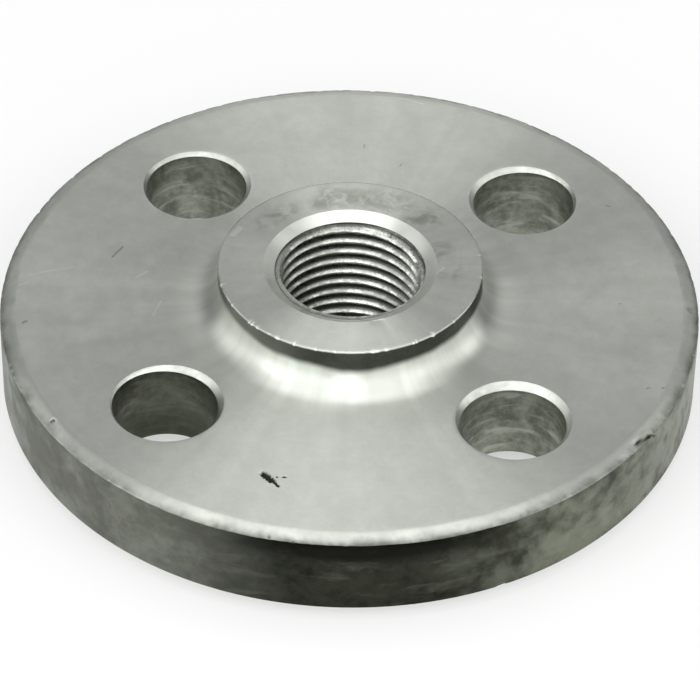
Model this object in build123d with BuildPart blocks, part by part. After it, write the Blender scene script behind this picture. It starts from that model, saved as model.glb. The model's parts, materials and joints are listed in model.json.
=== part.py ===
import os

from build123d import *

# Threaded hub flange for a half inch pipe, turned from one forging.
# Sizes are in millimetres. The pipe axis is +Z and z = 0 is the sealing plane, on which the flange rests.

# Bolt circle
bolt_circle_dia = 65.0
bolt_hole_dia = 14.0
bolt_count = 4
first_bolt_angle = 45.0
bolt_hole_chamfer = 0.5

# Plate, from its back to the face that the nuts bear on
plate_thickness = 12.0
rim_land = 8.0  # metal left between a bolt hole and the rim
rim_bevel_width = 1.8
rim_bevel_height = 0.7
back_edge_break = 0.3

# Raised sealing face
raised_face_height = 2.0
gasket_land = 3.0  # plate left between the raised face and a bolt hole
raised_face_break = 0.2

# Hub
hub_dia = 35.8
hub_height = 6.0
hub_root_radius = 4.0
hub_straight = 2.0  # upright side left above the root, at the least
seat_land = 0.5  # flat plate left between the root and a bolt hole, at the least

# Pipe thread: the bore is at its minor diameter, and each mouth is countersunk at 45 degrees
thread_major_dia = 20.955
thread_depth = 1.162
countersink_margin = 1.3  # how far the mouth stands outside the thread's major diameter, on the radius

# Radii and heights that follow
hub_radius = hub_dia / 2
bore_radius = thread_major_dia / 2 - thread_depth
bolt_hole_inner = (bolt_circle_dia - bolt_hole_dia) / 2
bolt_hole_outer = (bolt_circle_dia + bolt_hole_dia) / 2
rim_radius = bolt_hole_outer + rim_land
raised_face_radius = bolt_hole_inner - gasket_land
plate_top = raised_face_height + plate_thickness
hub_top = plate_top + hub_height
countersink_depth = thread_depth + countersink_margin

# The hub's root blends into the plate, and stops short of the bolt holes and of the hub's edge
root_room = bolt_hole_inner - bolt_hole_chamfer - seat_land - hub_radius
root_radius = min(hub_root_radius, root_room, hub_height - hub_straight)

# Corners of the half section, as radius and height
bore_bottom = (bore_radius, 0)
bore_top = (bore_radius, hub_top)
sealing_edge = (raised_face_radius, 0)
sealing_step = (raised_face_radius, raised_face_height)
rim_bottom = (rim_radius, raised_face_height)
bevel_foot = (rim_radius, plate_top - rim_bevel_height)
bevel_head = (rim_radius - rim_bevel_width, plate_top)
hub_root = (hub_radius, plate_top)
hub_edge = (hub_radius, hub_top)


def corner(section, point):
    """The vertex of a section that lies at the given radius and height."""
    return section.vertices().sort_by_distance(point)[0]


with BuildPart() as threaded_flange:
    with BuildSketch(Plane.XZ) as half_section:
        with BuildLine():
            Polyline(
                bore_bottom,
                sealing_edge,
                sealing_step,
                rim_bottom,
                bevel_foot,
                bevel_head,
                hub_root,
                hub_edge,
                bore_top,
                close=True,
            )
        make_face()
        fillet(corner(half_section, hub_root), root_radius)
        chamfer(corner(half_section, rim_bottom), back_edge_break)
        chamfer(corner(half_section, sealing_edge), raised_face_break)
        chamfer(corner(half_section, bore_bottom), countersink_depth)
        chamfer(corner(half_section, bore_top), countersink_depth)
    revolve(axis=Axis.Z)

    # Bolt holes, drilled right through and chamfered where they leave the plate
    with PolarLocations(bolt_circle_dia / 2, bolt_count, first_bolt_angle):
        Hole(bolt_hole_dia / 2)
    bolt_hole_edges = threaded_flange.edges(Select.LAST).filter_by(GeomType.CIRCLE)
    chamfer(bolt_hole_edges, bolt_hole_chamfer)

threaded_flange.part.label = "threaded_flange"

os.makedirs("parts", exist_ok=True)
export_step(threaded_flange.part, "parts/threaded_flange.step")
print(f"threaded_flange: rim {2 * rim_radius:.2f}, height {hub_top:.2f}, root radius {root_radius:.2f}")
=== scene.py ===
import json
import math

import bmesh
import bpy
import numpy as np
from mathutils import Matrix, Vector


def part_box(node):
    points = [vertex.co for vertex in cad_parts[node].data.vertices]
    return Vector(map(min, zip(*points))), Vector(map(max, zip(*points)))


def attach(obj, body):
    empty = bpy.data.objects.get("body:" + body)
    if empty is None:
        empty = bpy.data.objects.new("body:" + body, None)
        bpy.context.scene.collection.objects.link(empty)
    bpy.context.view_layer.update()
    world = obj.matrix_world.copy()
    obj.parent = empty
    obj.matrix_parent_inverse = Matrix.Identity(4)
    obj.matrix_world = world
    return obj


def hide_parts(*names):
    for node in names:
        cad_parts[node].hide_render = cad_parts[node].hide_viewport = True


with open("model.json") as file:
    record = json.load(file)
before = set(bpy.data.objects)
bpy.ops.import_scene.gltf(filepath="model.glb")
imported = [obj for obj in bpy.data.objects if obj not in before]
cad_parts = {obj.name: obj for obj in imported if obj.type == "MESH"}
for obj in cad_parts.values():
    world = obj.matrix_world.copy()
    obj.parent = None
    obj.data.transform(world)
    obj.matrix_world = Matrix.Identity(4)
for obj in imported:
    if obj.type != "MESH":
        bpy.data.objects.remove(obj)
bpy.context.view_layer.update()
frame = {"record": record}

# All shapes are worked out in millimetres and scaled once, when the mesh is made
metresPerMm = 0.001
mounts = {mount["name"]: mount["dims"] for mount in frame["record"]["mounts"]}
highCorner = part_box("threaded_flange")[1] / metresPerMm

flange = {
    "rimRadius": round(highCorner.x, 3),
    "height": round(highCorner.z, 3),
    "backHeight": 2.0,       # the raised face stands this far below the plate
    "plateHeight": 14.0,
    "raisedFaceRadius": 22.5,
    "bevelWidth": 1.8,       # the rim's top edge slopes down over this much radius
    "bevelDrop": 0.7,        # and by this much height
    "bevelSoftness": 2.0,    # radius that blends the slope into the plate
    "rimBreak": 0.3,         # bottom edge of the rim
    "hubRadius": 17.9,
    "hubRoot": 4.0,
    "hubRootEnd": 22.6,      # flat plate begins to carry the bolt holes here
    "plateEnd": 43.5,        # and ends here
    "edgeRound": 0.07,       # how far turned edges are worn round
}
bolts = {
    "circleRadius": mounts["bolt_circle"]["pcd_mm"] / 2,
    "radius": mounts["bolt_circle"]["hole_r_mm"],
    "count": mounts["bolt_circle"]["count"],
    "firstAngle": math.radians(45),
    "countersinks": [(0.52, -0.14, 0.08), (0.56, 0.10, -0.04), (0.52, 0.26, 0.10), (0.68, 0.02, 0.22)],
    "backChamfer": 0.1,
    "land": 8.15,            # the flat ring round each hole ends here
}
thread = {
    "minorRadius": mounts["pipe_thread"]["r_mm"],
    "pitch": 25.4 / 14,      # Whitworth pipe thread, 14 turns to the inch
    "halfAngle": math.radians(27.5),
    "mouthRadius": 11.7775,  # countersink at the hub face and at the sealing face
    "mouthRound": 0.14,      # radius of the worn edge
    "coneFall": 1.63,        # the countersink narrows this much in each millimetre of depth
    "coneDepth": 0.95,       # and ends in a narrow groove, below which the thread begins
    "grooveRadius": 10.31,
    "threadDepth": 1.12,
    "crestHeight": 1.325,    # a crest passes the +X side this far above the sealing plane
    "tear": 0.07,            # how rough the first turn is, and how far below the mouth it lies
    "tornDepth": 1.9,
}
thread["depth"] = 0.640327 * thread["pitch"]
thread["rounding"] = 0.137329 * thread["pitch"]

# How finely each ring is divided: every count is twice the one before, so rings can be stepped up
columns = {"bore": 120, "plate": 240, "edge": 480, "rim": 960}
spokeRows = {"top": 13, "back": 7}   # rows between a bolt hole and the edge of its quarter
radialSteps = 26                     # points on the line between two quarters
finishes = ["faceSteel", "chamferSteel", "bevelSteel", "rimSteel", "holeSteel", "threadSteel"]


# Shape helpers

shell = {"points": [], "quads": [], "triangles": [], "size": 0}


def ringAngles(count):
    return 2 * np.pi * np.arange(count) / count


def lathe(radii, heights, angles, centre=(0.0, 0.0)):
    # Point (i, j) stands at radius i and height i, turned to angle j about the centre
    radii, heights = np.broadcast_arrays(
        np.asarray(radii, float).reshape(len(radii), -1),
        np.asarray(heights, float).reshape(len(heights), -1),
    )
    x = centre[0] + radii * np.cos(angles)
    y = centre[1] + radii * np.sin(angles)
    return np.stack([x, y, heights + 0 * x], axis=2)


def addPoints(points):
    first = shell["size"]
    shell["points"].append(points.reshape(-1, 3))
    shell["size"] += points.size // 3
    return first + np.arange(points.size // 3).reshape(points.shape[:-1])


def addGrid(points, finish, closed=True):
    # One quad between each two neighbouring rows and columns; a closed grid joins its last column to its first.
    # The finish is a name, or an array with one finish number for each quad.
    index = addPoints(points)
    if closed:
        index = np.concatenate([index, index[:, :1]], axis=1)
    corners = [index[:-1, :-1], index[1:, :-1], index[1:, 1:], index[:-1, 1:]]
    quads = np.stack(corners, axis=-1).reshape(-1, 4)
    kind = finishes.index(finish) if isinstance(finish, str) else finish.ravel()
    shell["quads"].append((quads, np.broadcast_to(kind, len(quads))))


def addStep(coarse, fine, finish):
    # Three triangles join each side of a ring to the two sides of a ring that is divided twice as finely
    low, high = addPoints(coarse), addPoints(fine)
    lowNext, even, odd, evenNext = np.roll(low, -1), high[::2], high[1::2], np.roll(high[::2], -1)
    corners = [(low, even, odd), (low, odd, lowNext), (lowNext, odd, evenNext)]
    triangles = np.concatenate([np.stack(corner, axis=1) for corner in corners])
    shell["triangles"].append((triangles, np.full(len(triangles), finishes.index(finish))))


def roundCorner(before, corner, after, radius, steps=3):
    # Arc that touches both sides of a profile's corner, at radius / tan(half the corner's angle) from it
    before, corner, after = np.array(before, float), np.array(corner, float), np.array(after, float)
    toBefore = (before - corner) / np.linalg.norm(before - corner)
    toAfter = (after - corner) / np.linalg.norm(after - corner)
    halfAngle = math.acos(toBefore @ toAfter) / 2
    middle = (toBefore + toAfter) / np.linalg.norm(toBefore + toAfter)
    centre = corner + middle * radius / math.sin(halfAngle)
    start = corner + toBefore * radius / math.tan(halfAngle) - centre
    end = corner + toAfter * radius / math.tan(halfAngle) - centre
    first = math.atan2(start[1], start[0])
    sweep = (math.atan2(end[1], end[0]) - first + math.pi) % (2 * math.pi) - math.pi
    turn = first + sweep * np.linspace(0, 1, steps + 1)
    return [tuple(centre + radius * np.array([math.cos(a), math.sin(a)])) for a in turn]


def profile(*stretches):
    # Radii and heights of a profile whose stretches are lists of (radius, height)
    rows = np.array([point for stretch in stretches for point in stretch], float)
    return rows[:, 0], rows[:, 1]


def ringWave(angles, lowest, highest, seed):
    # Sum of cosines that go round a whole number of times, lowest to highest, with seeded phases, about -1 to 1
    rng = np.random.default_rng(seed)
    counts = np.arange(lowest, highest + 1)
    phases = rng.uniform(0, 2 * np.pi, len(counts))
    weights = rng.uniform(0.3, 1.0, len(counts))
    waves = np.cos(np.multiply.outer(angles, counts) + phases) * weights
    return waves.sum(axis=-1) / (weights.sum() ** 0.5) / 1.4


def smooth(value):
    value = np.clip(value, 0, 1)
    return value * value * (3 - 2 * value)


# The thread and its two countersinks

def threadRise(along):
    # Whitworth form, by distance along the axis from a crest: round crest, straight flank, round root.
    # The rounding is r - sqrt(r^2 - x^2), and the flank climbs 1 / tan(half angle) in each millimetre.
    half = thread["pitch"] / 2
    fromCrest = np.abs((along + half) % thread["pitch"] - half)
    fold = np.minimum(fromCrest, half - fromCrest)
    arcEnd = thread["rounding"] * math.cos(thread["halfAngle"])
    arc = thread["rounding"] - np.sqrt(thread["rounding"] ** 2 - np.minimum(fold, arcEnd) ** 2)
    rise = arc + np.maximum(fold - arcEnd, 0) / math.tan(thread["halfAngle"])
    return np.where(fromCrest < half / 2, rise, thread["depth"] - rise)


def boreRadius(heights, angles):
    # The thread form, roughened over its first turns
    crest = heights - thread["pitch"] * angles / (2 * np.pi) - thread["crestHeight"]
    fromMouth = np.minimum(heights, flange["height"] - heights)
    tear = thread["tear"] * ringWave(angles, 9, 60, 3)
    torn = smooth(1 - np.abs(fromMouth - thread["tornDepth"]) / 1.1) * tear
    return thread["minorRadius"] + threadRise(crest) + torn


def addBore():
    # A helix grid: each row climbs one pitch in a turn. Rows past an end of the thread are held at that end,
    # where they merge into one ring.
    half = thread["pitch"] / 2
    arcEnd = thread["rounding"] * math.cos(thread["halfAngle"])
    upFlank = np.array([0, arcEnd / 2, arcEnd, half / 2, half - arcEnd, half - arcEnd / 2])
    oneTurn = np.concatenate([upFlank, thread["pitch"] - np.append(upFlank[1:], half)[::-1]])
    turns = math.ceil(flange["height"] / thread["pitch"]) + 2
    offsets = np.concatenate([oneTurn + thread["pitch"] * (turn - 1) for turn in range(turns)])
    angles = np.append(ringAngles(columns["bore"]), 2 * np.pi)
    climb = thread["pitch"] * angles / (2 * np.pi)
    depth = thread["threadDepth"]
    heights = np.clip(offsets[:, None] + climb, depth, flange["height"] - depth)
    radii = boreRadius(heights, angles)
    x = radii * np.cos(angles)
    y = radii * np.sin(angles)
    addGrid(np.stack([x, y, heights], axis=2), "threadSteel", closed=False)


def mouthArc(height, up):
    # The worn edge between countersink and face, from the cone out to the face
    inside = (thread["mouthRadius"] - thread["coneFall"], height - up)
    corner, outside = (thread["mouthRadius"], height), (thread["mouthRadius"] + 1, height)
    return roundCorner(inside, corner, outside, thread["mouthRound"])


def addMouth(height, up):
    # From the thread's end a sloping shelf, the groove, the cone, then a step to the face's columns and the worn edge
    angles = ringAngles(columns["bore"])
    start = height - up * thread["threadDepth"]
    coneEnd = height - up * thread["coneDepth"]
    coneRadius = thread["mouthRadius"] - thread["coneFall"] * thread["coneDepth"]
    shelf = boreRadius(np.full(len(angles), start), angles)
    groove = thread["grooveRadius"]
    rings = [(groove - 0.06, start + up * 0.05), (groove, start + up * 0.09), (groove, coneEnd - up * 0.03)]
    radii = np.concatenate([shelf[None], [np.full(len(angles), radius) for radius, level in rings]])
    addGrid(lathe(radii, [start] + [level for radius, level in rings], angles), "threadSteel")

    arc = mouthArc(height, up)
    middle = ((coneRadius + arc[0][0]) / 2, (coneEnd + arc[0][1]) / 2)
    radii, heights = profile(rings[-1:], [(coneRadius, coneEnd), middle], arc[:1])
    cone = lathe(radii, heights, angles)
    addGrid(cone, "chamferSteel")
    radii, heights = profile(arc)
    fine = lathe(radii, heights, ringAngles(columns["plate"]))
    addStep(cone[-1], fine[1], "chamferSteel")
    return radii[1:], heights[1:]


# Hub

def addHub():
    top, hub, plate = flange["height"], flange["hubRadius"], flange["plateHeight"]
    radii, heights = addMouth(top, 1)
    faceRadii = np.concatenate([radii, [12.2, 13.5, 15.0, 16.4, 17.1]])
    faceHeights = np.concatenate([heights, np.full(5, top)])
    face = lathe(faceRadii, faceHeights, ringAngles(columns["plate"]))
    addGrid(face, "faceSteel")

    edge = roundCorner((hub - 1, top), (hub, top), (hub, top - 1), flange["edgeRound"] * 2.6, 3)
    radii, heights = profile([(hub - 0.45, top)], edge, [(hub, top - 0.5), (hub, top - 1.1)])
    edgeRings = lathe(radii, heights, ringAngles(columns["edge"]))
    addStep(face[-1], edgeRings[0], "faceSteel")
    addGrid(edgeRings, "faceSteel")

    root = roundCorner((hub, top), (hub, plate), (hub + 9, plate), flange["hubRoot"], 18)
    radii, heights = profile([(hub, top - 1.6)], root, [(flange["hubRootEnd"], plate)])
    side = lathe(radii, heights, ringAngles(columns["plate"]))
    addStep(side[0], edgeRings[-1], "faceSteel")
    addGrid(side, "faceSteel")


# Plate with its bolt holes

def quarterEdge():
    # The edge of a quarter of the plate as radius and angle, once round: in along the root, out, back and in
    arcSteps = columns["plate"] // bolts["count"]
    halfTurn = math.pi / bolts["count"]
    inner, outer = flange["hubRootEnd"], flange["plateEnd"]
    angle = np.linspace(-halfTurn, halfTurn, arcSteps + 1)
    radius = np.linspace(inner, outer, radialSteps + 1)
    radii = [np.full(arcSteps, inner), radius[:-1], np.full(arcSteps, outer), radius[:0:-1]]
    turns = [angle[:-1], np.full(radialSteps, halfTurn), angle[:0:-1], np.full(radialSteps, -halfTurn)]
    return np.concatenate(radii), np.concatenate(turns)


def holeAngles():
    # Angles round a hole, halfway between even steps and the directions of the quarter's edge points
    radius, turn = quarterEdge()
    count = len(radius)
    direction = np.arctan2(radius * np.sin(turn), radius * np.cos(turn) - bolts["circleRadius"])
    even = np.pi - (np.arange(count) - columns["plate"] / bolts["count"] / 2) * 2 * np.pi / count
    return even + 0.5 * ((direction - even + np.pi) % (2 * np.pi) - np.pi)


def addPlateRound(boltTurn, height, rows, finish):
    # Spokes from the ring round a hole to the quarter's edge, straight in radius and angle,
    # with steps that grow by a fixed share from the hole outwards
    radius, turn = quarterEdge()
    angles = holeAngles()
    x = bolts["circleRadius"] + bolts["land"] * np.cos(angles)
    y = bolts["land"] * np.sin(angles)
    growth = 1.2 if rows > 10 else 1.4
    share = ((growth ** np.arange(rows + 1) - 1) / (growth ** rows - 1))[:, None]
    radii = np.hypot(x, y) * (1 - share) + radius * share
    turns = np.arctan2(y, x) * (1 - share) + turn * share + boltTurn
    points = np.stack([radii * np.cos(turns), radii * np.sin(turns), np.full_like(radii, height)], axis=2)
    addGrid(points, finish)


def addHole(boltTurn, wide, shift):
    # The hole's own lathe: flat ring, chamfer, wall, chamfer, flat ring. The upper chamfer was cut a little off
    # the hole's axis: at angle a it is scaled by 1 + (shift . direction) / wide about the hole's sharp corner.
    top, back, hole = flange["plateHeight"], flange["backHeight"], bolts["radius"]
    low, wear = bolts["backChamfer"], flange["edgeRound"]
    upper = roundCorner((hole + 2, top), (hole + wide, top), (hole, top - wide), wear, 2)
    upperIn = roundCorner((hole + wide, top), (hole, top - wide), (hole, back), wear, 2)
    lowerIn = roundCorner((hole, top), (hole, back + low), (hole + low, back), wear, 2)
    lower = roundCorner((hole, back + low), (hole + low, back), (hole + 2, back), wear, 2)
    wall = [(hole, height) for height in np.linspace(top - 1.3, back + 1.3, 5)]
    angles = holeAngles() + boltTurn
    scale = 1 + (shift[0] * np.cos(angles) + shift[1] * np.sin(angles)) / wide
    centre = (bolts["circleRadius"] * math.cos(boltTurn), bolts["circleRadius"] * math.sin(boltTurn))
    stretches = [
        ([(bolts["land"], top)] + upper[:1], "faceSteel"),
        (upper + upperIn, "chamferSteel"),
        (upperIn[-1:] + wall + lowerIn + lower, "holeSteel"),
        (lower[-1:] + [(bolts["land"], back)], "faceSteel"),
    ]
    for stretch, finish in stretches:
        radii, heights = profile(stretch)
        onChamfer = (radii < bolts["land"]) & (heights > top - 1.2)
        factor = np.where(onChamfer[:, None], scale, 1.0)
        radii = hole + (radii - hole)[:, None] * factor
        heights = top - (top - heights)[:, None] * factor
        addGrid(lathe(radii, heights, angles, centre), finish)


def addPlate():
    for number, (wide, *shift) in enumerate(bolts["countersinks"]):
        boltTurn = bolts["firstAngle"] + number * 2 * math.pi / bolts["count"]
        addPlateRound(boltTurn, flange["plateHeight"], spokeRows["top"], "faceSteel")
        addPlateRound(boltTurn, flange["backHeight"], spokeRows["back"], "faceSteel")
        addHole(boltTurn, wide, shift)


# Rim

def addRim():
    top, back, rim = flange["plateHeight"], flange["backHeight"], flange["rimRadius"]
    wide, drop, low, wear = flange["bevelWidth"], flange["bevelDrop"], flange["rimBreak"], flange["edgeRound"]
    inner = lathe([flange["plateEnd"]], [top], ringAngles(columns["plate"]))
    middle = lathe([44.2, 44.6], [top, top], ringAngles(columns["edge"]))
    addStep(inner[0], middle[0], "faceSteel")
    addGrid(middle, "faceSteel")

    # The bevel: a soft bend from the plate, the slope, and a worn bend into the rim's wall
    foot, head = (rim, top - drop), (rim - wide, top)
    upper = roundCorner((rim - 4, top), head, foot, flange["bevelSoftness"], 4)
    under = roundCorner(head, foot, (rim, back), wear * 4, 4)
    slope = [tuple(np.array(head) * (1 - share) + np.array(foot) * share) for share in (0.42, 0.62)]
    land = lathe([44.95, upper[0][0]], [top, top], ringAngles(columns["rim"]))
    addStep(middle[-1], land[0], "faceSteel")
    addGrid(land, "faceSteel")
    wall = [(rim, height) for height in (12.85, 12.6, 12.3, 11.9, 11.2, 10.1, 8.7, 7.1, 5.5, 4.0, 2.9)]
    foot = roundCorner((rim, top), (rim, back + low), (rim - low, back), wear, 2)
    heel = roundCorner((rim, back + low), (rim - low, back), (rim - 3, back), wear, 2)
    for stretch, finish in [
        (upper + slope + under[:-1], "bevelSteel"),
        (under[-2:] + wall + foot[:1], "rimSteel"),
        (foot + heel, "rimSteel"),
    ]:
        radii, heights = profile(stretch)
        addGrid(lathe(radii, heights, ringAngles(columns["rim"])), finish)

    heelRing = lathe([heel[-1][0]], [back], ringAngles(columns["rim"]))
    outer = lathe([46.3, 45.4], [back, back], ringAngles(columns["edge"]))
    inner = lathe([44.4, flange["plateEnd"]], [back, back], ringAngles(columns["plate"]))
    addStep(outer[0], heelRing[0], "faceSteel")
    addGrid(outer, "faceSteel")
    addStep(inner[0], outer[-1], "faceSteel")
    addGrid(inner, "faceSteel")


def addRaisedFace():
    back, radius = flange["backHeight"], flange["raisedFaceRadius"]
    mouthRadii, mouthHeights = addMouth(0.0, -1)
    edge = roundCorner((radius - 1, 0), (radius, 0), (radius, back), 0.2, 3)
    radii, heights = profile(
        list(zip(mouthRadii, mouthHeights)),
        [(step, 0.0) for step in (12.4, 14.0, 16.0, 18.0, 20.0, 21.6)],
        edge,
        [(radius, 0.8), (radius, 1.5), (radius, back), (flange["hubRootEnd"], back)],
    )
    addGrid(lathe(radii, heights, ringAngles(columns["plate"])), "faceSteel")


# Wear: every mark is a place on the flange in millimetres, or an angle in degrees from +X

wear = {
    "bevelWave": 0.05,       # how far the bevel dips along the rim
    "bevelChips": 0.13,
    "rimWave": 0.03,         # the rim's own unevenness
    "raggedBand": {"from": -103, "to": -58, "depth": 0.18, "height": 0.8},
    "hubEdgeWave": 0.035,
    "burrs": [  # torn lips on the hub's edge: angle, length, how far they stand out
        (-162.5, 0.9, 0.18), (-148, 0.8, 0.16), (-134, 1.9, 0.32), (-130, 1.0, 0.22), (-119, 1.2, 0.20),
        (-111, 0.9, 0.16), (-101, 0.7, 0.10), (-93, 0.7, 0.10), (-76, 1.7, 0.18), (-71, 0.9, 0.18),
        (-58, 1.4, 0.18), (-48.5, 1.5, 0.28), (-36, 0.9, 0.10), (-4, 0.7, 0.14), (11, 0.7, 0.16), (168, 0.8, 0.10),
    ],
    "dents": [  # ends of the dent's line, half its width, its depth, how much grime it holds
        ((-7.5, -46.4, 13.7), (-7.2, -47.3, 13.2), 0.30, 0.34, 0.9),
        ((-6.2, -46.0, 13.9), (-6.0, -46.4, 13.8), 0.20, 0.12, 0.5),
        ((-4.4, -47.1, 13.3), (-4.2, -47.3, 13.1), 0.20, 0.22, 0.9),
        ((38.7, -26.2, 13.8), (41.0, -23.6, 13.2), 0.30, 0.32, 0.8),
        ((40.2, -22.9, 14.0), (41.2, -23.4, 13.4), 0.22, 0.20, 0.6),
        ((41.0, -23.6, 13.2), (41.7, -22.7, 12.2), 0.24, 0.24, 0.7),
        ((37.6, -28.6, 13.6), (38.0, -28.2, 13.3), 0.20, 0.18, 0.3),
        ((-37.2, -27.2, 13.9), (-37.6, -27.4, 13.8), 0.34, 0.16, 0.8),
        ((-42.2, -21.8, 13.2), (-39.4, -26.6, 11.9), 0.60, 0.14, 0.3),
        ((-41.9, 20.9, 13.9), (-42.2, 21.0, 13.8), 0.28, 0.20, 0.6),
        ((46.1, 1.4, 13.9), (46.5, 1.3, 13.7), 0.28, 0.20, 0.4),
        ((22.2, -42.0, 2.2), (22.9, -41.6, 2.1), 0.40, 0.35, 0.3),
        ((-40.6, -24.7, 6.2), (-40.4, -24.9, 5.7), 0.25, 0.10, 0.2),
        ((3.6, -11.4, 20.0), (4.8, -11.0, 20.0), 0.30, 0.20, 0.35),
    ],
}
pit = {  # a slag hole in the plate, with its tail and two small ones beside it: ends, half width, depth
    "holes": [
        ((-8.95, -35.6), (-7.75, -36.7), 0.50, 0.55),
        ((-7.6, -36.9), (-6.9, -37.7), 0.20, 0.26),
        ((-6.35, -35.95), (-6.15, -36.0), 0.17, 0.14),
        ((-7.2, -36.0), (-7.15, -36.05), 0.14, 0.12),
    ],
    "middle": (-7.8, -36.6),
    "reach": (3.4, 2.4, 1.9),  # each circle is divided again, by the cuts below
    "cuts": (2, 3, 1),
}


def nearLine(points, start, end):
    # Distance of each point from the line between two ends
    start, end = np.array(start, float), np.array(end, float)
    share = np.clip((points - start) @ (end - start) / ((end - start) @ (end - start)), 0, 1)
    return np.linalg.norm(points - start - share[:, None] * (end - start), axis=1)


def wearHubEdge(points, shine):
    # Lips that lean out from the hub's edge, highest in the middle of their length, with a painted glint where they
    # stand out most
    radius, angle = np.hypot(points[:, 0], points[:, 1]), np.arctan2(points[:, 1], points[:, 0])
    edge = np.hypot(radius - flange["hubRadius"], points[:, 2] - flange["height"])
    near = smooth(1 - edge / 0.75)
    ragged = np.maximum(0.6 + 0.9 * ringWave(angle, 150, 235, 11), 0.1)
    calm = smooth(0.5 + 0.8 * ringWave(angle, 2, 9, 13))
    lean = wear["hubEdgeWave"] * (0.4 + calm) * ringWave(angle, 30, 230, 12) - 0.02
    for degrees, length, size in wear["burrs"]:
        away = (angle - math.radians(degrees) + np.pi) % (2 * np.pi) - np.pi
        lean = lean + size * smooth(1 - np.abs(away) * flange["hubRadius"] / (length / 2)) * ragged
    lean = lean * near
    shine[:] = np.maximum(shine, smooth((lean - 0.02) / 0.04))
    points[:, 0] += lean * np.cos(angle)
    points[:, 1] += lean * np.sin(angle)
    points[:, 2] -= 0.5 * np.abs(lean) * (points[:, 2] > flange["height"] - 0.3)


def wearRim(points):
    # The bevel dips unevenly and its outer edge is chipped; below it a ragged band of the wall leans inwards
    rim, top, wide, drop = flange["rimRadius"], flange["plateHeight"], flange["bevelWidth"], flange["bevelDrop"]
    radius, angle = np.hypot(points[:, 0], points[:, 1]), np.arctan2(points[:, 1], points[:, 0])
    low = top - drop
    onBevel = smooth((radius - (rim - wide - 0.5)) / 1.2) * smooth((points[:, 2] - (low - 1.2)) / 1.0)
    atEdge = smooth(1 - np.hypot(radius - rim, points[:, 2] - low) / 0.7)
    dip = wear["bevelWave"] * np.maximum(0.5 + 0.7 * ringWave(angle, 7, 70, 21), 0)
    chips = wear["bevelChips"] * np.maximum(ringWave(angle, 30, 260, 25) - 0.2, 0)
    points[:, 2] -= dip * onBevel + 0.6 * chips * atEdge
    band = wear["raggedBand"]
    degrees = np.degrees(angle)
    here = smooth((degrees - band["from"]) / 8) * smooth((band["to"] - degrees) / 8)
    hem = np.maximum(band["height"] * (0.85 + 0.45 * ringWave(angle, 40, 300, 26)), 0.2)
    depth = np.clip(1 - (low - points[:, 2]) / hem, 0, 1) * (radius > rim - 0.4) * (points[:, 2] > 8)
    lean = band["depth"] * depth * (0.25 + 0.75 * here)
    onRim = smooth((radius - (rim - 0.4)) / 0.3) * smooth((points[:, 2] - 2.0) / 1.0)
    broad = ringWave(angle, 5, 60, 27) * np.cos(0.9 * points[:, 2])
    close = ringWave(angle, 50, 220, 28) * np.cos(2.1 * points[:, 2])
    uneven = wear["rimWave"] * onRim * (1 + 0.5 * (broad + close))
    newRadius = np.minimum(radius - chips * atEdge - lean - uneven, rim)
    points[:, :2] *= (newRadius / np.maximum(radius, 1e-9))[:, None]


def wearDents(points, grime):
    # Each dent pushes the metal in, deepest on its line: straight in on the wall, mostly down on the other faces
    for start, end, halfWidth, depth, dirt in wear["dents"]:
        push = smooth(1.2 - nearLine(points, start, end) / halfWidth)
        outward = np.array([end[0], end[1], 0.0]) / math.hypot(end[0], end[1])
        upward = np.array([0, 0, 1.0])
        onWall = math.hypot(end[0], end[1]) > 40 and end[2] < 12.5
        points -= depth * push[:, None] * (outward if onWall else 0.35 * outward + 0.94 * upward)
        grime[:] = np.maximum(grime, dirt * push)


def wearPit(points, grime):
    # Bowls with steep ragged walls, sunk straight down into the plate
    x, y = points[:, 0], points[:, 1]
    ragged = 0.13 * np.cos(7.0 * x + 3.0 * np.cos(5.0 * y)) + 0.09 * np.cos(13 * y - 9 * x)
    onPlate = np.abs(points[:, 2] - flange["plateHeight"]) < 0.01
    for start, end, halfWidth, depth in pit["holes"]:
        away = nearLine(points[:, :2], start, end) / halfWidth + ragged * 1.4
        sink = smooth((1.1 - away) / 0.35) * onPlate
        points[:, 2] -= depth * sink * (1 + ragged)
        grime[:] = np.maximum(grime, sink)


def refine(work, middle, reach, cuts):
    # Divides every edge of the faces near a place on the plate, so that a small shape has points to stand on
    middle = Vector((middle[0], middle[1], flange["plateHeight"])) * metresPerMm
    near = [face for face in work.faces if (face.calc_center_median() - middle).length < reach * metresPerMm]
    edges = {edge for face in near for edge in face.edges}
    bmesh.ops.subdivide_edges(work, edges=list(edges), cuts=cuts, use_grid_fill=True)


def wearFlange(mesh):
    # All wear is applied to the finished mesh; grime and the painted glint mask are kept on its points for the
    # materials
    points = np.empty(len(mesh.vertices) * 3)
    mesh.vertices.foreach_get("co", points)
    points = points.reshape(-1, 3) / metresPerMm
    grime, shine = np.zeros(len(points)), np.zeros(len(points))
    wearHubEdge(points, shine)
    wearRim(points)
    wearDents(points, grime)
    wearPit(points, grime)
    points[:, 2] = np.clip(points[:, 2], 0, flange["height"])
    mesh.vertices.foreach_set("co", (points * metresPerMm).ravel())
    for name, values in (("grime", grime), ("shine", shine)):
        attribute = mesh.attributes.new(name, "FLOAT", "POINT")
        attribute.data.foreach_set("value", values.astype(np.float32))


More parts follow.
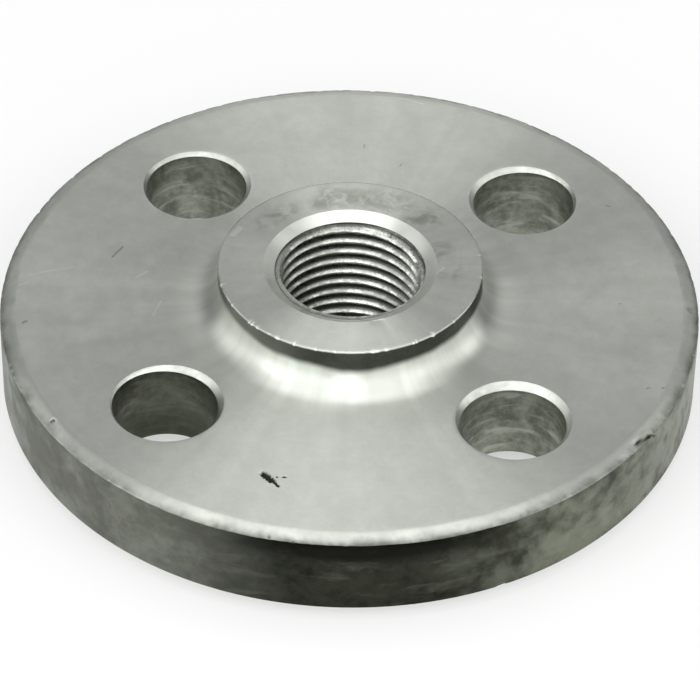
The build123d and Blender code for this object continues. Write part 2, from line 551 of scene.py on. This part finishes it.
def buildFlange():
    addBore()
    addHub()
    addPlate()
    addRim()
    addRaisedFace()
    quads = np.concatenate([faces for faces, finish in shell["quads"]])
    triangles = np.concatenate([faces for faces, finish in shell["triangles"]])
    kinds = [finish for faces, finish in shell["quads"] + shell["triangles"]]
    points = np.concatenate(shell["points"]) * metresPerMm
    mesh = bpy.data.meshes.new("threadedFlange")
    mesh.from_pydata(points.tolist(), [], quads.tolist() + triangles.tolist())
    mesh.polygons.foreach_set("material_index", np.concatenate(kinds))
    work = bmesh.new()
    work.from_mesh(mesh)
    bmesh.ops.remove_doubles(work, verts=work.verts, dist=2e-6)
    bmesh.ops.dissolve_degenerate(work, edges=work.edges, dist=1e-7)
    for reach, cuts in zip(pit["reach"], pit["cuts"]):
        refine(work, pit["middle"], reach, cuts)
    bmesh.ops.recalc_face_normals(work, faces=work.faces)
    looseEdges = sum(1 for edge in work.edges if len(edge.link_faces) != 2)
    print("flange:", len(work.faces), "faces, open or shared edges:", looseEdges)
    work.to_mesh(mesh)
    work.free()
    wearFlange(mesh)
    mesh.shade_smooth()
    mesh.set_sharp_from_angle(angle=math.radians(40))
    piece = bpy.data.objects.new("threadedFlange", mesh)
    bpy.context.scene.collection.objects.link(piece)
    return piece


# Materials

def newGroup(name, inputs, outputs):
    # An empty shader node group; inputs are (name, kind, value), outputs are (name, kind)
    group = bpy.data.node_groups.new(name, "ShaderNodeTree")
    for label, kind, value in inputs:
        socket = group.interface.new_socket(label, in_out="INPUT", socket_type="NodeSocket" + kind)
        if value is not None:
            socket.default_value = value
    for label, kind in outputs:
        group.interface.new_socket(label, in_out="OUTPUT", socket_type="NodeSocket" + kind)
    return group, group.nodes.new("NodeGroupInput"), group.nodes.new("NodeGroupOutput")


def addNode(tree, kind, inputs=None, **settings):
    # A node with its settings; each input is a fixed value or the socket that feeds it
    node = tree.nodes.new(kind)
    for name, value in settings.items():
        setattr(node, name, value)
    for name, value in (inputs or {}).items():
        if isinstance(value, bpy.types.NodeSocket):
            tree.links.new(value, node.inputs[name])
        else:
            node.inputs[name].default_value = value
    return node


def maths(tree, operation, first, second=0.0, third=0.0):
    return addNode(tree, "ShaderNodeMath", {0: first, 1: second, 2: third}, operation=operation).outputs[0]


def fade(tree, value, low, high, toLow=0.0, toHigh=1.0):
    # A value mapped from one span to another along a smooth step
    inputs = {"Value": value, "From Min": low, "From Max": high, "To Min": toLow, "To Max": toHigh}
    return addNode(tree, "ShaderNodeMapRange", inputs, interpolation_type="SMOOTHSTEP").outputs["Result"]


def noise(tree, vector, scale, detail=3.0, roughness=0.5, distortion=0.0):
    inputs = {"Vector": vector, "Scale": scale, "Detail": detail, "Roughness": roughness, "Distortion": distortion}
    return addNode(tree, "ShaderNodeTexNoise", inputs).outputs["Fac"]


def mixColour(tree, factor, first, second, blend="MIX"):
    node = addNode(tree, "ShaderNodeMix", data_type="RGBA", blend_type=blend)
    for socket, value in ((node.inputs[0], factor), (node.inputs[6], first), (node.inputs[7], second)):
        if isinstance(value, bpy.types.NodeSocket):
            tree.links.new(value, socket)
        else:
            socket.default_value = value
    return node.outputs[2]


def grey(value, olive=0.0):
    # A steel tone, a touch green; olive takes its blue away
    return (value * (0.965 - 0.2 * olive), value, value * (0.92 - olive), 1.0)


def makeTurnedLines():
    # Tool marks of turning: noise along radius plus height, so the rings run round faces, sides and cones alike
    group, given, made = newGroup(
        "turnedLines",
        [("Position", "Vector", None), ("Lines per metre", "Float", 1500.0), ("Wander", "Float", 0.3)],
        [("Height", "Float"), ("Tone", "Float")],
    )
    split = addNode(group, "ShaderNodeSeparateXYZ", {"Vector": given.outputs["Position"]})
    flat = addNode(group, "ShaderNodeCombineXYZ", {"X": split.outputs["X"], "Y": split.outputs["Y"]})
    radius = addNode(group, "ShaderNodeVectorMath", {0: flat.outputs[0]}, operation="LENGTH").outputs["Value"]
    along = maths(group, "SUBTRACT", radius, split.outputs["Z"])
    sway = noise(group, given.outputs["Position"], 60.0, 2.0)
    swayed = maths(group, "MULTIPLY_ADD", maths(group, "MULTIPLY", sway, given.outputs["Wander"]), 0.001, along)
    fine = addNode(
        group, "ShaderNodeTexNoise",
        {"W": swayed, "Scale": given.outputs["Lines per metre"], "Detail": 2.0, "Roughness": 0.7},
        noise_dimensions="1D",
    ).outputs["Fac"]
    broad = addNode(
        group, "ShaderNodeTexNoise", {"W": along, "Scale": 260.0, "Detail": 3.0, "Roughness": 0.6},
        noise_dimensions="1D",
    ).outputs["Fac"]
    group.links.new(fine, made.inputs["Height"])
    group.links.new(broad, made.inputs["Tone"])
    return group


def makeSpokes():
    # Rays from the axis: noise along the direction in which a point lies, the same at every distance
    group, given, made = newGroup(
        "spokes", [("Position", "Vector", None), ("Close", "Float", 8.0)], [("Ray", "Float")],
    )
    flat = addNode(group, "ShaderNodeVectorMath", {0: given.outputs["Position"], 1: (1, 1, 0)}, operation="MULTIPLY")
    direction = addNode(group, "ShaderNodeVectorMath", {0: flat.outputs[0]}, operation="NORMALIZE").outputs[0]
    ray = noise(group, direction, given.outputs["Close"], 2.0, 0.6)
    group.links.new(fade(group, ray, 0.3, 0.7), made.inputs["Ray"])
    return group


def makeMottle():
    # Clouds of two sizes, pulled apart to full contrast
    group, given, made = newGroup(
        "mottle",
        [("Position", "Vector", None), ("Size", "Float", 80.0), ("Soft", "Float", 0.2)],
        [("Patch", "Float")],
    )
    large = noise(group, given.outputs["Position"], given.outputs["Size"], 4.0, 0.6, 0.4)
    small = noise(group, given.outputs["Position"], maths(group, "MULTIPLY", given.outputs["Size"], 5.0), 3.0, 0.6)
    blend = maths(group, "MULTIPLY_ADD", small, 0.35, maths(group, "MULTIPLY", large, 0.65))
    low = maths(group, "SUBTRACT", 0.5, given.outputs["Soft"])
    high = maths(group, "ADD", 0.5, given.outputs["Soft"])
    group.links.new(fade(group, blend, low, high), made.inputs["Patch"])
    return group


def makeScuffs():
    # Hairline scuffs: noise stretched a long way along one direction, of which only the peaks are kept
    group, given, made = newGroup(
        "scuffs",
        [("Position", "Vector", None), ("Turn", "Float", 0.0), ("Amount", "Float", 0.3)],
        [("Line", "Float")],
    )
    turned = addNode(
        group, "ShaderNodeVectorRotate",
        {"Vector": given.outputs["Position"], "Angle": given.outputs["Turn"]}, rotation_type="Z_AXIS",
    ).outputs[0]
    bent = noise(group, given.outputs["Position"], 45.0, 1.0)
    shifted = addNode(
        group, "ShaderNodeVectorMath",
        {0: addNode(group, "ShaderNodeCombineXYZ", {"Y": maths(group, "MULTIPLY", bent, 0.004)}).outputs[0], 1: turned},
        operation="ADD",
    ).outputs[0]
    stretched = addNode(
        group, "ShaderNodeVectorMath", {0: shifted, 1: (150.0, 5200.0, 300.0)}, operation="MULTIPLY",
    ).outputs[0]
    lines = noise(group, stretched, 1.0, 1.0, 0.4)
    where = noise(group, given.outputs["Position"], 90.0, 1.0)
    peak = fade(group, lines, 0.70, 0.80)
    here = fade(group, where, maths(group, "SUBTRACT", 0.75, given.outputs["Amount"]), 0.78)
    group.links.new(maths(group, "MULTIPLY", peak, here), made.inputs["Line"])
    return group


def makeStroke():
    # One mark: 1 on the line from Start to End, falling to 0 over the share Soft of a ragged Width.
    # The distance is that of the point from its nearest place on the line.
    group, given, made = newGroup(
        "stroke",
        [
            ("Position", "Vector", None), ("Start", "Vector", None), ("End", "Vector", None),
            ("Width", "Float", 0.0002), ("Soft", "Float", 0.5),
        ],
        [("Mask", "Float")],
    )

    def vector(operation, first, second=None, output=0):
        inputs = {0: first} if second is None else {0: first, 1: second}
        return addNode(group, "ShaderNodeVectorMath", inputs, operation=operation).outputs[output]

    rough = noise(group, given.outputs["Position"], 3500.0, 2.0)
    fromStart = vector("SUBTRACT", given.outputs["Position"], given.outputs["Start"])
    line = vector("SUBTRACT", given.outputs["End"], given.outputs["Start"])
    share = maths(group, "DIVIDE", vector("DOT_PRODUCT", fromStart, line, 1), vector("DOT_PRODUCT", line, line, 1))
    share = addNode(group, "ShaderNodeClamp", {"Value": share}).outputs[0]
    scaled = addNode(group, "ShaderNodeVectorMath", {0: line, "Scale": share}, operation="SCALE").outputs[0]
    away = vector("LENGTH", vector("SUBTRACT", fromStart, scaled), output=1)
    reach = maths(group, "MULTIPLY", given.outputs["Width"], maths(group, "MULTIPLY_ADD", rough, 1.6, 0.2))
    inner = maths(group, "SUBTRACT", 1.0, given.outputs["Soft"])
    group.links.new(fade(group, maths(group, "DIVIDE", away, reach), 1.0, inner), made.inputs["Mask"])
    return group


effects = {
    "turnedLines": makeTurnedLines(),
    "spokes": makeSpokes(),
    "mottle": makeMottle(),
    "scuffs": makeScuffs(),
    "stroke": makeStroke(),
}


def effect(tree, name, position, output=0, **values):
    node = addNode(tree, "ShaderNodeGroup", node_tree=effects[name])
    tree.links.new(position, node.inputs["Position"])
    for label, value in values.items():
        node.inputs[label.replace("_", " ")].default_value = value
    return node.outputs[output]


def strokes(tree, position, marks, height, soft=0.5):
    # The strongest of several marks; each is (start, end, half width) in millimetres, at one height
    strongest = 0.0
    for start, end, halfWidth in marks:
        ends = [tuple(metresPerMm * value for value in (*place, height)) for place in (start, end)]
        width = halfWidth * metresPerMm
        mask = effect(tree, "stroke", position, Start=ends[0], End=ends[1], Width=width, Soft=soft)
        strongest = maths(tree, "MAXIMUM", mask, strongest)
    return strongest


def newSteel(name, anisotropy=0.0, turn=0.0):
    # A bare metal whose colour, roughness and bump come from the nodes that follow
    material = bpy.data.materials.new(name)
    material.use_nodes = True
    tree = material.node_tree
    shader = tree.nodes["Principled BSDF"]
    shader.inputs["Metallic"].default_value = 1.0
    if anisotropy:
        shader.inputs["Anisotropic"].default_value = anisotropy
        shader.inputs["Anisotropic Rotation"].default_value = turn
        around = addNode(tree, "ShaderNodeTangent", direction_type="RADIAL", axis="Z")
        tree.links.new(around.outputs[0], shader.inputs["Tangent"])
    position = addNode(tree, "ShaderNodeTexCoord").outputs["Object"]
    return material, tree, shader, position


def addGrime(tree, colour, roughness, shader):
    # Dark residue where the mesh carries grime: the metal turns to a dull black scale
    grime = addNode(tree, "ShaderNodeAttribute", attribute_name="grime").outputs["Fac"]
    cover = fade(tree, grime, 0.15, 0.75)
    tree.links.new(mixColour(tree, cover, colour, (0.012, 0.011, 0.009, 1)), shader.inputs["Base Color"])
    tree.links.new(maths(tree, "MULTIPLY_ADD", cover, 0.3, roughness), shader.inputs["Roughness"])
    tree.links.new(fade(tree, grime, 0.15, 0.75, 1.0, 0.2), shader.inputs["Metallic"])


def setBump(tree, shader, height, distance, strength=1.0):
    bump = addNode(tree, "ShaderNodeBump", {"Height": height, "Distance": distance, "Strength": strength})
    tree.links.new(bump.outputs[0], shader.inputs["Normal"])


faceLook = {
    # The fillet's tone is a painted highlight
    "tone": 0.65, "darkTone": 0.58, "filletTone": 0.73, "roughness": (0.34, 0.44), "anisotropy": 0.88, "turn": 0.25,
    "polishFrom": 25.2, "polishTo": 21.0,   # radius outside which the fillet's painted highlight has faded
    "lineDepth": 0.000004, "scuffTone": 0.85, "grain": 0.05,
    "sideTone": 0.045, "sidePale": 0.20, "sideFrom": 17.3, "sideTo": 16.2,   # painted shade: the hub's side is painted dark
    "edgeLine": (17.68, 17.80),   # and a painted shade line along the far edge of its face
    "pale": [  # scratches and rubbed spots on the plate: ends and half width, in millimetres
        ((-46.0, -1.0), (-44.0, 0.0), 0.10), ((-44.2, 1.6), (-40.6, 3.0), 0.10), ((-42.7, 2.4), (-38.0, 3.8), 0.08),
        ((-26.3, -5.4), (-25.5, -2.4), 0.10), ((-29.5, 2.1), (-28.0, 3.7), 0.12),
        ((3.8, 45.3), (8.0, 43.9), 0.12),
    ],
    "dark": [
        ((-43.6, -8.3), (-43.2, -7.9), 0.28), ((-33.1, 6.3), (-31.9, 8.6), 0.22), ((-37.6, -27.2), (-37.0, -26.8), 0.4),
        ((40.4, -15.3), (40.8, -15.1), 0.20), ((42.5, -15.1), (42.7, -14.9), 0.18), ((34.6, 22.7), (35.0, 22.6), 0.18),
        ((36.6, 1.7), (36.8, 1.8), 0.15), ((-40.8, -24.2), (-40.6, -24.0), 0.18), ((-21.3, -40.8), (-21.1, -40.6), 0.18),
        ((0.0, 33.1), (0.0, 33.9), 0.14), ((5.3, 29.3), (5.5, 29.9), 0.14), ((-45.2, -10.8), (-44.7, -10.2), 0.14),
    ],
    "hubPale": [((11.8, -0.8), (12.6, 0.3), 0.22), ((-16.3, 5.2), (-15.5, 6.6), 0.55), ((-1.9, -14.0), (-1.2, -13.8), 0.10)],
    "hubStain": [
        ((8.1, 9.9), (10.6, 11.0), 3.2), ((-3.4, 14.4), (5.8, 13.9), 3.8), ((-5.0, 12.6), (-2.4, 13.4), 2.4),
        ((12.5, 4.0), (13.5, -1.0), 2.6), ((-12.0, 8.0), (-9.0, 11.5), 2.4),
    ],
}


def makeFaceSteel():
    material, tree, shader, position = newSteel("faceSteel", faceLook["anisotropy"], faceLook["turn"])
    patch = effect(tree, "mottle", position, Size=45.0, Soft=0.25)
    grain = effect(tree, "mottle", position, Size=520.0, Soft=0.3)
    height = effect(tree, "turnedLines", position, "Height", Lines_per_metre=2600.0)
    tone = effect(tree, "turnedLines", position, "Tone")
    colour = mixColour(tree, patch, grey(faceLook["darkTone"]), grey(faceLook["tone"]))
    colour = mixColour(tree, fade(tree, tone, 0.3, 0.7, 0.0, 0.15), colour, grey(0.7))
    shade = fade(tree, grain, 0.0, 1.0, 1 - faceLook["grain"], 1 + faceLook["grain"])
    colour = mixColour(tree, 1.0, colour, shade, "MULTIPLY")
    scuff = effect(tree, "scuffs", position, Turn=0.7, Amount=0.18)
    colour = mixColour(tree, maths(tree, "MULTIPLY", scuff, 0.3), colour, grey(faceLook["scuffTone"]))

    # Painted highlight: the turned fillet and the plate just outside it are made brighter than the plate, in rays;
    # painted dark rays, gaps in that highlight, cross the whole face
    top, plate = flange["height"], flange["plateHeight"]
    split = addNode(tree, "ShaderNodeSeparateXYZ", {"Vector": position})
    flat = addNode(tree, "ShaderNodeCombineXYZ", {"X": split.outputs["X"], "Y": split.outputs["Y"]})
    radius = addNode(tree, "ShaderNodeVectorMath", {0: flat.outputs[0]}, operation="LENGTH").outputs["Value"]
    rays = effect(tree, "spokes", position, Close=8.0)
    start, end = (faceLook[name] * metresPerMm for name in ("polishFrom", "polishTo"))
    fillet = maths(tree, "MULTIPLY", fade(tree, radius, start, end), fade(tree, split.outputs["Z"], 0.0178, 0.017))
    fillet = maths(tree, "MULTIPLY", fillet, fade(tree, rays, 0.0, 1.0, 0.55, 1.0))
    colour = mixColour(tree, fillet, colour, grey(faceLook["filletTone"]))
    # Painted shade: darker rays across the whole face
    colour = mixColour(tree, fade(tree, rays, 0.0, 1.0, 0.14, 0.0), colour, grey(0.4))
    # Painted highlight: near-white glints on the hub edge's burrs
    glintMask = addNode(tree, "ShaderNodeAttribute", attribute_name="shine").outputs["Fac"]
    colour = mixColour(tree, glintMask, colour, grey(0.95))

    pale = maths(tree, "MAXIMUM", strokes(tree, position, faceLook["pale"], plate),
                 strokes(tree, position, faceLook["hubPale"], top))
    colour = mixColour(tree, maths(tree, "MULTIPLY", pale, 0.55), colour, grey(0.8))
    dark = strokes(tree, position, faceLook["dark"], plate, 0.8)
    colour = mixColour(tree, maths(tree, "MULTIPLY", dark, 0.5), colour, grey(0.12, 0.05))
    cloud = fade(tree, noise(tree, position, 330.0, 4.0, 0.65, 0.8), 0.36, 0.62)
    stain = maths(tree, "MULTIPLY", strokes(tree, position, faceLook["hubStain"], top, 1.0), cloud)
    colour = mixColour(tree, maths(tree, "MULTIPLY", stain, 0.7), colour, grey(0.27, 0.08))

    # The hub's upright side: painted shade, dark above a wavering line that climbs to the left and right, paler towards
    # -X
    waver = maths(tree, "MULTIPLY", maths(tree, "SUBTRACT", noise(tree, position, 160.0, 2.0), 0.5), 0.0014)
    aside = maths(tree, "MULTIPLY", maths(tree, "ABSOLUTE", split.outputs["X"]), -0.06)
    aside = maths(tree, "MULTIPLY_ADD", split.outputs["X"], 0.02, aside)
    level = maths(tree, "ADD", maths(tree, "ADD", split.outputs["Z"], aside), waver)
    above = fade(tree, level, faceLook["sideTo"] * metresPerMm, faceLook["sideFrom"] * metresPerMm)
    below = fade(tree, split.outputs["Z"], (top - 0.10) * metresPerMm, (top - 0.35) * metresPerMm)
    skinAndShade = mixColour(tree, grain, grey(faceLook["sideTone"], 0.1), grey(faceLook["sideTone"] * 1.7, 0.05))
    skinAndShade = mixColour(tree, fade(tree, split.outputs["X"], -0.004, -0.013), skinAndShade, grey(faceLook["sidePale"], 0.05))
    colour = mixColour(tree, maths(tree, "MULTIPLY", above, below), colour, skinAndShade)
    # Painted shade: a dark line along the far (+Y) edge of the hub's face
    start, end = (value * metresPerMm for value in faceLook["edgeLine"])
    line = maths(tree, "MULTIPLY", fade(tree, radius, start, end), fade(tree, split.outputs["Z"], 0.0195, 0.0198))
    line = maths(tree, "MULTIPLY", line, fade(tree, split.outputs["Y"], 0.004, 0.009, 0.0, 0.8))
    colour = mixColour(tree, line, colour, grey(0.08, 0.02))

    low, high = faceLook["roughness"]
    addGrime(tree, colour, fade(tree, patch, 0.0, 1.0, high, low), shader)
    setBump(tree, shader, height, faceLook["lineDepth"])
    return material


def makeChamferSteel():
    # Countersinks and hole chamfers: cut bright, with close tool marks
    material, tree, shader, position = newSteel("chamferSteel", 0.5, faceLook["turn"])
    patch = effect(tree, "mottle", position, Size=260.0, Soft=0.2)
    height = effect(tree, "turnedLines", position, "Height", Lines_per_metre=3500.0)
    distance = addNode(tree, "ShaderNodeVectorMath", {0: position}, operation="LENGTH").outputs["Value"]
    colour = mixColour(tree, patch, grey(0.47), grey(0.60))
    colour = mixColour(tree, fade(tree, distance, 0.026, 0.0245, 0.0, 0.8), colour, grey(0.85))
    addGrime(tree, colour, fade(tree, patch, 0.0, 1.0, 0.46, 0.34), shader)
    setBump(tree, shader, height, 0.000004)
    return material


def rimSkinAndShade(tree, position, split, patch):
    # Forged skin with blotches and streaks that run round the rim, and painted shade: dull and dark in front, paler to
    # both sides, darkest over the top of the wall in front
    spot = effect(tree, "mottle", position, Size=190.0, Soft=0.07)
    stretched = addNode(
        tree, "ShaderNodeVectorMath", {0: position, 1: (110.0, 110.0, 420.0)}, operation="MULTIPLY",
    ).outputs[0]
    streak = noise(tree, stretched, 1.0, 5.0, 0.65, 0.6)
    # Painted shade: nearly black where x is near 0, in front, lighter to the left and right
    front = mixColour(tree, patch, grey(0.008, 0.2), grey(0.030, 0.2))
    left = mixColour(tree, patch, grey(0.15, 0.08), grey(0.22, 0.05))
    right = mixColour(tree, patch, grey(0.05, 0.25), grey(0.24, 0.15))
    colour = mixColour(tree, fade(tree, split.outputs["X"], -0.003, -0.026), front, left)
    colour = mixColour(tree, fade(tree, split.outputs["X"], 0.010, 0.034), colour, right)
    colour = mixColour(tree, fade(tree, streak, 0.50, 0.66, 0.0, 0.22), colour, grey(0.2, 0.12))
    colour = mixColour(tree, maths(tree, "MULTIPLY", spot, 0.22), colour, grey(0.07, 0.2))
    # Painted shade: the darkest band, over the upper wall in the middle of the front
    level = maths(tree, "MULTIPLY_ADD", patch, 0.0012, split.outputs["Z"])
    aside = maths(tree, "ABSOLUTE", maths(tree, "SUBTRACT", split.outputs["X"], 0.004))
    band = maths(tree, "MULTIPLY", fade(tree, level, 0.0105, 0.0125), fade(tree, aside, 0.024, 0.008, 0.0, 0.9))
    return mixColour(tree, band, colour, grey(0.007, 0.2))


def makeBevelSteel():
    # The rim's worn slope: the plate's own steel, with the rim's skin and its painted shade still on its outer edge
    # down to a ragged line
    material, tree, shader, position = newSteel("bevelSteel", 0.85, faceLook["turn"])
    split = addNode(tree, "ShaderNodeSeparateXYZ", {"Vector": position})
    patch = effect(tree, "mottle", position, Size=180.0, Soft=0.25)
    ragged = noise(tree, position, 330.0, 3.0, 0.6)
    level = maths(tree, "MULTIPLY_ADD", maths(tree, "SUBTRACT", ragged, 0.5), 0.0008, split.outputs["Z"])
    worn = fade(tree, level, 0.01305, 0.0138)
    skinAndShade = mixColour(tree, 0.25, rimSkinAndShade(tree, position, split, patch), grey(0.5))
    colour = mixColour(tree, worn, skinAndShade, mixColour(tree, patch, grey(0.52), grey(0.64)))
    addGrime(tree, colour, fade(tree, patch, 0.0, 1.0, 0.46, 0.36), shader)
    setBump(tree, shader, noise(tree, position, 1500.0, 3.0, 0.6), 0.00002)
    return material


def makeRimSteel():
    material, tree, shader, position = newSteel("rimSteel")
    split = addNode(tree, "ShaderNodeSeparateXYZ", {"Vector": position})
    patch = effect(tree, "mottle", position, Size=70.0, Soft=0.12)
    colour = rimSkinAndShade(tree, position, split, patch)
    addGrime(tree, colour, fade(tree, patch, 0.0, 1.0, 0.52, 0.38), shader)
    setBump(tree, shader, noise(tree, position, 1100.0, 4.0, 0.6), 0.00003)
    return material


def makeHoleSteel():
    # Drilled wall: mottled, with a few faint drag marks that run round the hole on a slant; the front left hole's wall
    # is darker, more so towards the bottom
    material, tree, shader, position = newSteel("holeSteel")
    patch = effect(tree, "mottle", position, Size=190.0, Soft=0.16)
    stretched = addNode(
        tree, "ShaderNodeVectorMath", {0: position, 1: (170.0, 170.0, 900.0)}, operation="MULTIPLY",
    ).outputs[0]
    drag = noise(tree, stretched, 1.0, 4.0, 0.6, 0.5)
    split = addNode(tree, "ShaderNodeSeparateXYZ", {"Vector": position})
    corner = fade(tree, maths(tree, "ADD", split.outputs["X"], split.outputs["Y"]), -0.024, -0.034)
    colour = mixColour(tree, patch, grey(0.17, 0.13), grey(0.40, 0.08))
    colour = mixColour(tree, fade(tree, drag, 0.5, 0.7, 0.0, 0.5), colour, grey(0.60, 0.04))
    # The front left hole's wall is darker, more so towards the bottom
    darkerHole = maths(tree, "MULTIPLY", corner, fade(tree, split.outputs["Z"], 0.011, 0.005, 0.5, 0.85))
    colour = mixColour(tree, darkerHole, colour, grey(0.06, 0.3))
    tree.links.new(colour, shader.inputs["Base Color"])
    tree.links.new(fade(tree, drag, 0.3, 0.7, 0.5, 0.34), shader.inputs["Roughness"])
    setBump(tree, shader, drag, 0.00004)
    return material


def makeThreadSteel():
    # Cut thread: bright crests and flanks, painted shade down in the roots and over the -X half, dark flecks on the
    # torn first turn
    material, tree, shader, position = newSteel("threadSteel")
    split = addNode(tree, "ShaderNodeSeparateXYZ", {"Vector": position})
    flat = addNode(tree, "ShaderNodeCombineXYZ", {"X": split.outputs["X"], "Y": split.outputs["Y"]})
    radius = addNode(tree, "ShaderNodeVectorMath", {0: flat.outputs[0]}, operation="LENGTH").outputs["Value"]
    minor, depth = thread["minorRadius"] * metresPerMm, thread["depth"] * metresPerMm
    # Painted shade in the roots: it reaches further out towards -X and less far near the top towards -Y
    reach = maths(tree, "MULTIPLY_ADD", split.outputs["X"], -0.02, radius)
    shelf = maths(tree, "MULTIPLY", fade(tree, split.outputs["Z"], 0.0186, 0.0188), fade(tree, split.outputs["Y"], 0.008, 0.003))
    reach = maths(tree, "MULTIPLY_ADD", shelf, -0.0004, reach)
    root = fade(tree, reach, minor + 0.25 * depth, minor + 0.65 * depth)
    patch = effect(tree, "mottle", position, Size=420.0, Soft=0.1)
    fleck = fade(tree, noise(tree, position, 1700.0, 3.0, 0.7), 0.57, 0.66)
    torn = maths(tree, "MULTIPLY", fade(tree, split.outputs["Z"], 0.0172, 0.0179), fade(tree, split.outputs["Z"], 0.0189, 0.0187))
    colour = mixColour(tree, patch, grey(0.42), grey(0.74))
    # Painted shade: the -X half of the thread darker
    colour = mixColour(tree, fade(tree, split.outputs["X"], 0.002, -0.008, 0.0, 0.6), colour, grey(0.27, 0.05))
    colour = mixColour(tree, maths(tree, "MULTIPLY", root, 0.9), colour, grey(0.06))
    colour = mixColour(tree, maths(tree, "MULTIPLY", maths(tree, "MULTIPLY", fleck, torn), 0.8), colour, grey(0.08))
    tree.links.new(colour, shader.inputs["Base Color"])
    tree.links.new(fade(tree, patch, 0.0, 1.0, 0.40, 0.26), shader.inputs["Roughness"])
    rough = maths(tree, "MULTIPLY_ADD", torn, 1.2, 1.0)
    setBump(tree, shader, maths(tree, "MULTIPLY", noise(tree, position, 1500.0, 2.0, 0.5), rough), 0.00003)
    return material


flangePiece = buildFlange()
for make in (makeFaceSteel, makeChamferSteel, makeBevelSteel, makeRimSteel, makeHoleSteel, makeThreadSteel):
    flangePiece.data.materials.append(make())
print("materials:", [material.name for material in flangePiece.data.materials])
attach(flangePiece, "root")
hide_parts("threaded_flange")


# Floor, lamps and camera

floorMesh = bpy.data.meshes.new("floor")
half = 3.0
floorMesh.from_pydata([(-half, -half, 0), (half, -half, 0), (half, half, 0), (-half, half, 0)], [], [(0, 1, 2, 3)])
floor = bpy.data.objects.new("floor", floorMesh)
bpy.context.scene.collection.objects.link(floor)
floorMaterial = bpy.data.materials.new("paleFloor")
floorMaterial.use_nodes = True
floorShader = floorMaterial.node_tree.nodes["Principled BSDF"]
floorShader.inputs["Base Color"].default_value = (0.8, 0.8, 0.8, 1)
floorShader.inputs["Roughness"].default_value = 0.9
floorShader.inputs["Specular IOR Level"].default_value = 0.1
floorNodes = floorMaterial.node_tree
lightPath = addNode(floorNodes, "ShaderNodeLightPath")
seen = maths(floorNodes, "MAXIMUM", lightPath.outputs["Is Camera Ray"], lightPath.outputs["Is Glossy Ray"])
seen = maths(floorNodes, "MAXIMUM", seen, lightPath.outputs["Is Transmission Ray"])
white = addNode(floorNodes, "ShaderNodeEmission", {"Color": (1, 1, 1, 1), "Strength": 1.0})
blend = addNode(floorNodes, "ShaderNodeMixShader", {0: maths(floorNodes, "MULTIPLY", seen, 0.5)})
floorNodes.links.new(floorShader.outputs[0], blend.inputs[1])
floorNodes.links.new(white.outputs[0], blend.inputs[2])
floorNodes.links.new(blend.outputs[0], floorNodes.nodes["Material Output"].inputs["Surface"])
floorMesh.materials.append(floorMaterial)

world = bpy.data.worlds.new("studio")
bpy.context.scene.world = world
world.use_nodes = True
world.node_tree.nodes["Background"].inputs["Color"].default_value = (1, 1, 1, 1)
world.node_tree.nodes["Background"].inputs["Strength"].default_value = 0.10

# Lamps: azimuth is measured from the camera's side (front) towards the right, elevation above the floor
lamps = {
    "overheadLamp": {"azimuth": 180, "elevation": 84, "distance": 0.9, "size": (0.75, 0.6), "radiance": 2.1},
    "backLamp": {"azimuth": 180, "elevation": 36, "distance": 1.0, "size": (1.6, 0.5), "radiance": 0.6},
    "frontLamp": {"azimuth": 2, "elevation": 38, "distance": 0.9, "size": (0.30, 0.95), "radiance": 2.2},
    "frontLeftLamp": {"azimuth": -38, "elevation": 36, "distance": 0.9, "size": (0.74, 0.9), "radiance": 2.0},
    "frontRightLamp": {"azimuth": 40, "elevation": 36, "distance": 0.9, "size": (0.74, 0.9), "radiance": 1.7},
    "leftLamp": {"azimuth": -86, "elevation": 28, "distance": 0.9, "size": (0.9, 0.6), "radiance": 1.6},
    "rightLamp": {"azimuth": 90, "elevation": 28, "distance": 0.9, "size": (0.9, 0.6), "radiance": 1.6},
}


def addLamp(name, settings):
    light = bpy.data.lights.new(name, "AREA")
    light.shape = "RECTANGLE"
    light.size, light.size_y = settings["size"]
    light.energy = settings["radiance"] * math.pi * light.size * light.size_y
    azimuth, elevation = math.radians(settings["azimuth"]), math.radians(settings["elevation"])
    direction = Vector((
        math.sin(azimuth) * math.cos(elevation),
        -math.cos(azimuth) * math.cos(elevation),
        math.sin(elevation),
    ))
    lamp = bpy.data.objects.new(name, light)
    lamp.location = direction * settings["distance"]
    lamp.rotation_euler = direction.to_track_quat("Z", "Y").to_euler()
    lamp.visible_camera = False
    bpy.context.scene.collection.objects.link(lamp)


for name, settings in lamps.items():
    addLamp(name, settings)

# Camera: it looks at a point on the axis, in the plate's back plane, and is then slid sideways and up
view = {
    "focalPixels": 3900.0,   # in pixels of a 700 pixel wide picture
    "imagePixels": 700.0,
    "sensor": 36.0,
    "elevation": math.radians(41.312),
    "azimuth": math.radians(2.93),
    "roll": 0.0161,
    "distance": 538.02,
    "slide": (-0.1872, -2.0418),
}


def addCamera():
    lens = bpy.data.cameras.new("camera")
    lens.sensor_width = view["sensor"]
    lens.lens = view["focalPixels"] / view["imagePixels"] * view["sensor"]
    ca, sa = math.cos(view["azimuth"]), math.sin(view["azimuth"])
    ce, se = math.cos(view["elevation"]), math.sin(view["elevation"])
    level = Vector((ca, sa, 0))
    forward = Vector((-sa * ce, ca * ce, -se))
    upright = level.cross(forward)
    cr, sr = math.cos(view["roll"]), math.sin(view["roll"])
    right = level * cr + upright * sr
    up = upright * cr - level * sr
    aim = Vector((0, 0, flange["backHeight"])) - right * view["slide"][0] - up * view["slide"][1]
    place = (aim - forward * view["distance"]) * metresPerMm
    camera = bpy.data.objects.new("camera", lens)
    axes = Matrix((right, up, -forward)).transposed()
    camera.matrix_world = Matrix.Translation(place) @ axes.to_4x4()
    bpy.context.scene.collection.objects.link(camera)
    bpy.context.scene.camera = camera


addCamera()
bpy.context.scene.view_settings.view_transform = "Standard"
